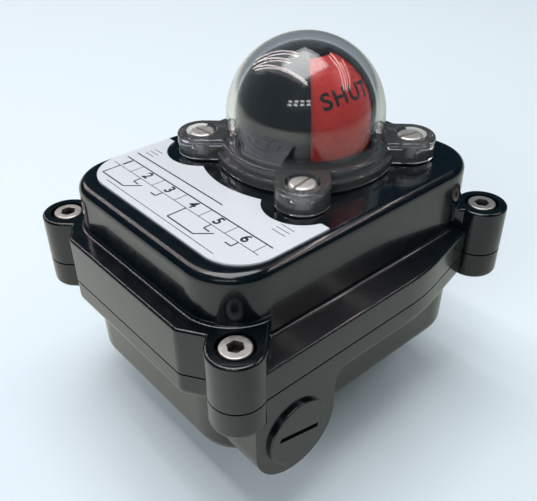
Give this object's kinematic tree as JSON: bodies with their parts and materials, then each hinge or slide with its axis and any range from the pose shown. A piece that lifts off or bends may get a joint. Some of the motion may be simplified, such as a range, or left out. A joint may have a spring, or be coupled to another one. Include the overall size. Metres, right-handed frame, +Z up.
{
  "type": "valve limit switch box",
  "caption": "Cast box with a clear position dome; a quarter-turn shaft turns the indicator and two cams that work switches wired to terminals.",
  "frame": {"origin": "on the shaft axis, at the bottom mounting face", "axes": "+Z up along the shaft towards the dome, X along the long side of the box, conduit entries opening along Y"},
  "size_m": [0.1132, 0.0977, 0.1162],
  "materials": {
    "housing": "glossy black powder coat on die-cast aluminium",
    "plug": "black coated plug",
    "seal": "matt nitrile rubber",
    "stainless": "turned and polished stainless steel",
    "plate": "silver-white satin plate with printed rules and numbers",
    "clear": "clear polished polycarbonate",
    "black_plastic": "gloss black moulding",
    "red_panel": "red moulding",
    "green_panel": "green moulding",
    "spring_steel": "plain spring steel",
    "bronze": "bronze and brass",
    "zinc_steel": "zinc plated steel",
    "terminal_plastic": "grey moulded terminal plastic",
    "switch_plastic": "black moulded switch case",
    "roller_plastic": "natural nylon"
  },
  "bodies": {
    "housing": {"base_housing": "housing", "cover": "housing", "conduit_plug": "plug", "plug_seal": "seal", "cover_gasket": "seal", "cover_screws": "stainless", "name_plate": "plate", "dome": "clear", "dome_gasket": "seal", "dome_screws": "stainless", "indicator_mask": "black_plastic", "lower_bush": "bronze", "upper_bush": "bronze", "switch_bracket": "zinc_steel", "bracket_screws": "zinc_steel", "switch_screws": "zinc_steel", "switch_spacers": "black_plastic", "terminal_block": "terminal_plastic", "terminal_screws": "zinc_steel", "block_screws": "zinc_steel", "earth_screw": "bronze", "earth_washer": "bronze", "open_switch": "switch_plastic", "open_switch_tabs": "bronze", "closed_switch": "switch_plastic", "closed_switch_tabs": "bronze"},
    "shaft": {"shaft": "stainless", "shaft_seals": "seal", "retaining_rings": "spring_steel", "open_cam": "green_panel", "closed_cam": "red_panel", "cam_spring": "spring_steel", "rotor_closed_panels": "red_panel", "rotor_open_panels": "green_panel", "rotor_hub": "black_plastic", "rotor_screw": "stainless"},
    "open_lever": {"open_lever": "spring_steel"},
    "open_roller": {"open_roller": "roller_plastic"},
    "open_plunger": {"open_plunger": "red_panel"},
    "closed_lever": {"closed_lever": "spring_steel"},
    "closed_roller": {"closed_roller": "roller_plastic"},
    "closed_plunger": {"closed_plunger": "red_panel"}
  },
  "joints": [
    {"name": "shaft_turn", "type": "hinge", "parent": "housing", "child": "shaft", "pos_m": [0, 0, 0], "axis": [0, 0, 1], "range_deg": [0, 90]},
    {"name": "open_lever_swing", "type": "hinge", "parent": "housing", "child": "open_lever", "pos_m": [-0.01615, 0.017, 0.01715], "axis": [0, 0, 1], "range_deg": [-5.42, 0]},
    {"name": "closed_lever_swing", "type": "hinge", "parent": "housing", "child": "closed_lever", "pos_m": [-0.01615, 0.017, 0.02845], "axis": [0, 0, 1], "range_deg": [0, 5.42]},
    {"name": "open_roller_spin", "type": "hinge", "parent": "open_lever", "child": "open_roller", "pos_m": [-0.01156, 0.00036, 0.01715], "axis": [0, 0, 1], "continuous": true},
    {"name": "closed_roller_spin", "type": "hinge", "parent": "closed_lever", "child": "closed_roller", "pos_m": [-0.01315, 0, 0.02845], "axis": [0, 0, 1], "continuous": true},
    {"name": "open_plunger_travel", "type": "slide", "parent": "housing", "child": "open_plunger", "axis": [1, 0, 0], "range_m": [-0.0007079, 0]},
    {"name": "closed_plunger_travel", "type": "slide", "parent": "housing", "child": "closed_plunger", "axis": [1, 0, 0], "range_m": [0, 0.0007079]}
  ],
  "couplings": [
    {"joint": "open_lever_swing", "follows": "shaft_turn", "ratio": -0.060006},
    {"joint": "closed_lever_swing", "follows": "shaft_turn", "ratio": 0.060006},
    {"joint": "open_plunger_travel", "follows": "shaft_turn", "m_per_rad": -0.00044938},
    {"joint": "closed_plunger_travel", "follows": "shaft_turn", "m_per_rad": 0.00044938}
  ]
}
